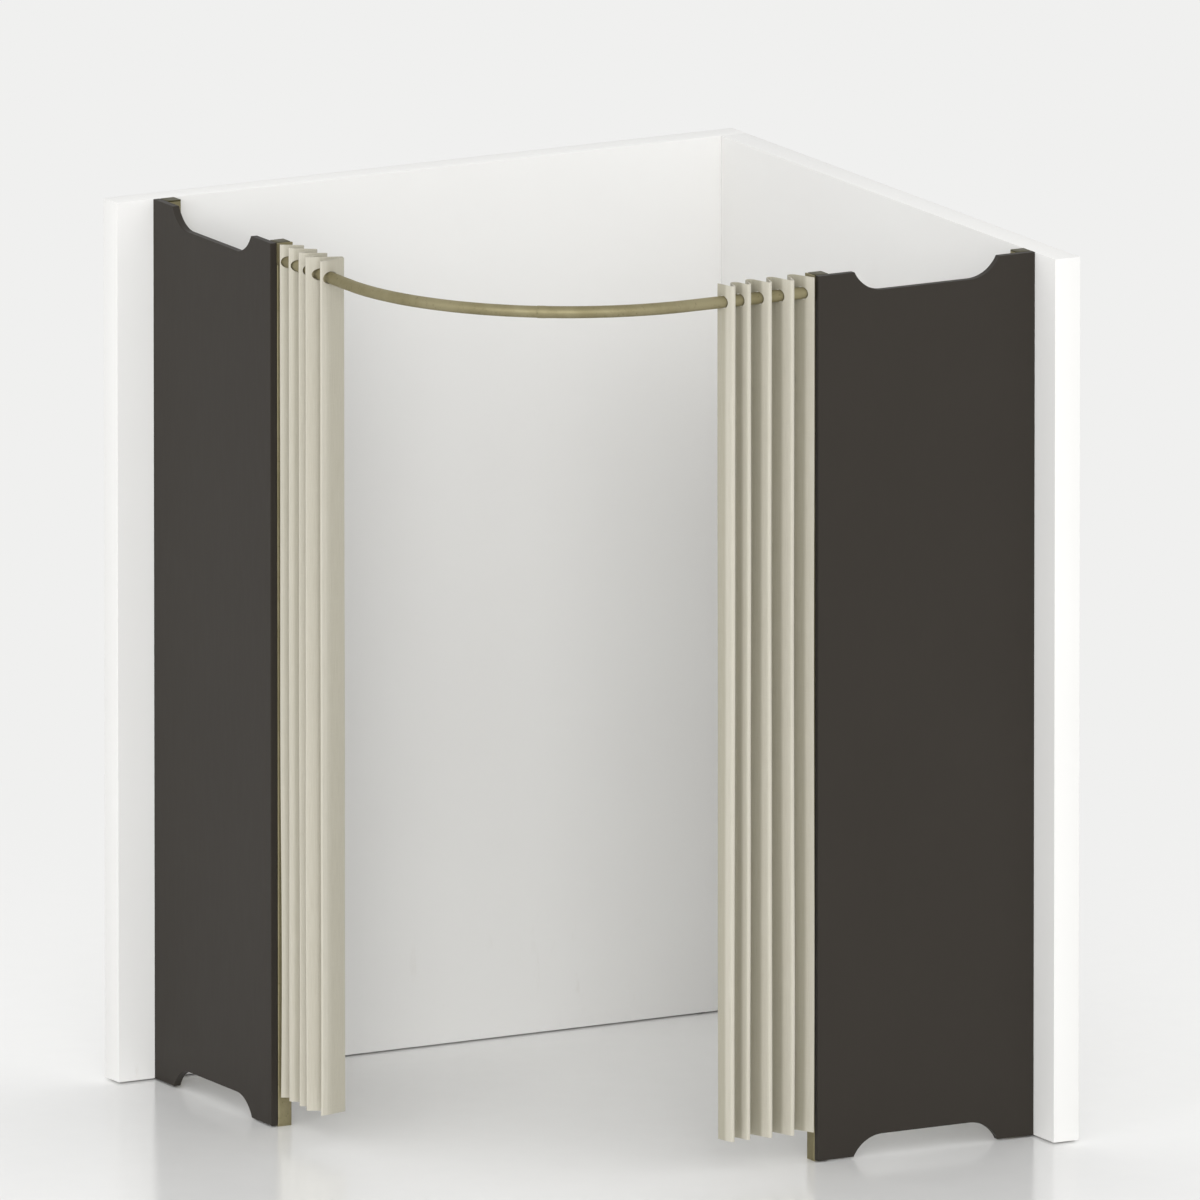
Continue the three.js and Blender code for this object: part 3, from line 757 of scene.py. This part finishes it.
def hung_cloth(name, line, arcs, outs, sway):
    """A strip of cloth over a stretch of the line, drawn up from its foot, swayed and thickened."""
    mesh = bmesh.new()
    across = mesh.verts.layers.float.new("across")
    outward = mesh.verts.layers.float.new("outward")
    foot = []
    for point, arc, out in zip(line, arcs, outs):
        vert = mesh.verts.new((*point, cloth_top - cloth_length))
        vert[across] = arc
        vert[outward] = out / fold_depth + 0.5
        foot.append(vert)
    edges = [mesh.edges.new(pair) for pair in zip(foot, foot[1:])]
    head = drawn_off(mesh, edges)[0]
    bmesh.ops.translate(mesh, verts=head, vec=(0, 0, cloth_length))
    uprights = [e for e in mesh.edges if abs(e.verts[0].co.z - e.verts[1].co.z) > cloth_length / 2]
    bmesh.ops.subdivide_edges(mesh, edges=uprights, cuts=cloth_rows, use_grid_fill=True)
    weave_map = mesh.loops.layers.uv.new("weave")
    fold_map = mesh.loops.layers.uv.new("folds")
    for face in mesh.faces:
        for loop in face.loops:
            loop[weave_map].uv = (loop.vert[across], loop.vert.co.z)
            loop[fold_map].uv = (loop.vert[outward], loop.vert.co.z)
    for vert in mesh.verts:
        drop = (cloth_top - vert.co.z) / cloth_length
        at = Vector((vert[across] * sway_across, vert.co.z * sway_down, sway))
        vert.co.x += noise.noise(at) * sway_size * drop
        vert.co.y += noise.noise(at + Vector((0, 0, sway_apart))) * sway_size * drop
    bmesh.ops.recalc_face_normals(mesh, faces=mesh.faces)
    piece = finished(name, mesh, cream_cotton, smooth=cloth_smooth)
    thick = piece.modifiers.new("thick", "SOLIDIFY")
    thick.thickness = cloth_thickness
    thick.offset = 0
    thick.use_even_offset = True
    return piece


def curtain(side, folds, inner_fold, outer_fold, to_room, painted_shade_line, painted_shade_limit,
            hole_from, hole_way, hole_radius, side_plays, sway):
    """One curtain, its line parted at the inner folds into waves that are each holed for the rail."""
    corners = [Vector(fold) / 1000 for fold in folds]
    line, middles = folded_line(corners, inner_fold, outer_fold)
    arcs = [0.0]
    for first, second in zip(line, line[1:]):
        arcs.append(arcs[-1] + (second - first).length)
    breaks = [0, *middles, len(line) - 1]
    for wave, (start, end) in enumerate(zip(breaks, breaks[1:]), 1):
        stretch = [to_room(point) for point in line[start:end + 1]]
        # How far each point stands out past the line where the painted shade of the hollows starts.
        outs = [max(point.y - painted_shade_line, painted_shade_limit) for point in line[start:end + 1]]
        piece = hung_cloth(f"{side}_curtain_wave_{wave}", stretch, arcs[start:end + 1], outs, sway)
        wide_radius = hole_radius + side_plays[wave - 1]
        hole = round_bar(hole_from, hole_way, cutter_length, wide_radius, sides=40)
        bmesh.ops.scale(
            hole, verts=hole.verts, vec=(1, 1, hole_radius / wide_radius),
            space=Matrix.Translation((0, 0, -rail_height)),
        )
        cut_holes(piece, [hole], smooth=cloth_smooth)
        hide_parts(f"{side}_curtain_pleat_{wave}")
        if wave == 1:
            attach(piece, "room")
            continue
        # An axis that leans so that the wave's crest comes half way along it, and its ends, are worked
        # out here but not used.
        first, crest, last = line[start], corners[2 * wave - 2], line[end]
        off_middle = crest - first - (last - first) / 2
        lean = -off_middle.x / off_middle.y
        axis = Vector((1, lean))
        reach = (last - first).dot(axis) / axis.length_squared
        blend_from = Vector(to_room(first)).to_3d()
        blend_to = Vector(to_room(first + axis * reach)).to_3d()
        before = "room" if wave == 2 else f"{side}_fold_{wave - 1}"
        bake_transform(piece)


curtain(
    "left", left_folds, inner_fold=0.0035, outer_fold=0.0025,
    to_room=lambda point: (-rail_line - point.y, post_face - point.x),
    painted_shade_line=0.009, painted_shade_limit=-0.0012,
    hole_from=(-rail_line, cutter_start, rail_height), hole_way=(0, -1, 0),
    hole_radius=left_rail_radius + hole_slack, side_plays=(0.0024, 0.0024, 0.0024, 0.007, 0.007),
    sway=3,
)
curtain(
    "right", right_folds, inner_fold=0.011, outer_fold=0.005,
    to_room=lambda point: (post_face - point.x, -rail_line - point.y),
    painted_shade_line=0.010, painted_shade_limit=-0.06,
    hole_from=(cutter_start, -rail_line, rail_height), hole_way=(-1, 0, 0),
    hole_radius=right_rail_radius + hole_slack, side_plays=(0.0024,) * 5,
    sway=11,
)
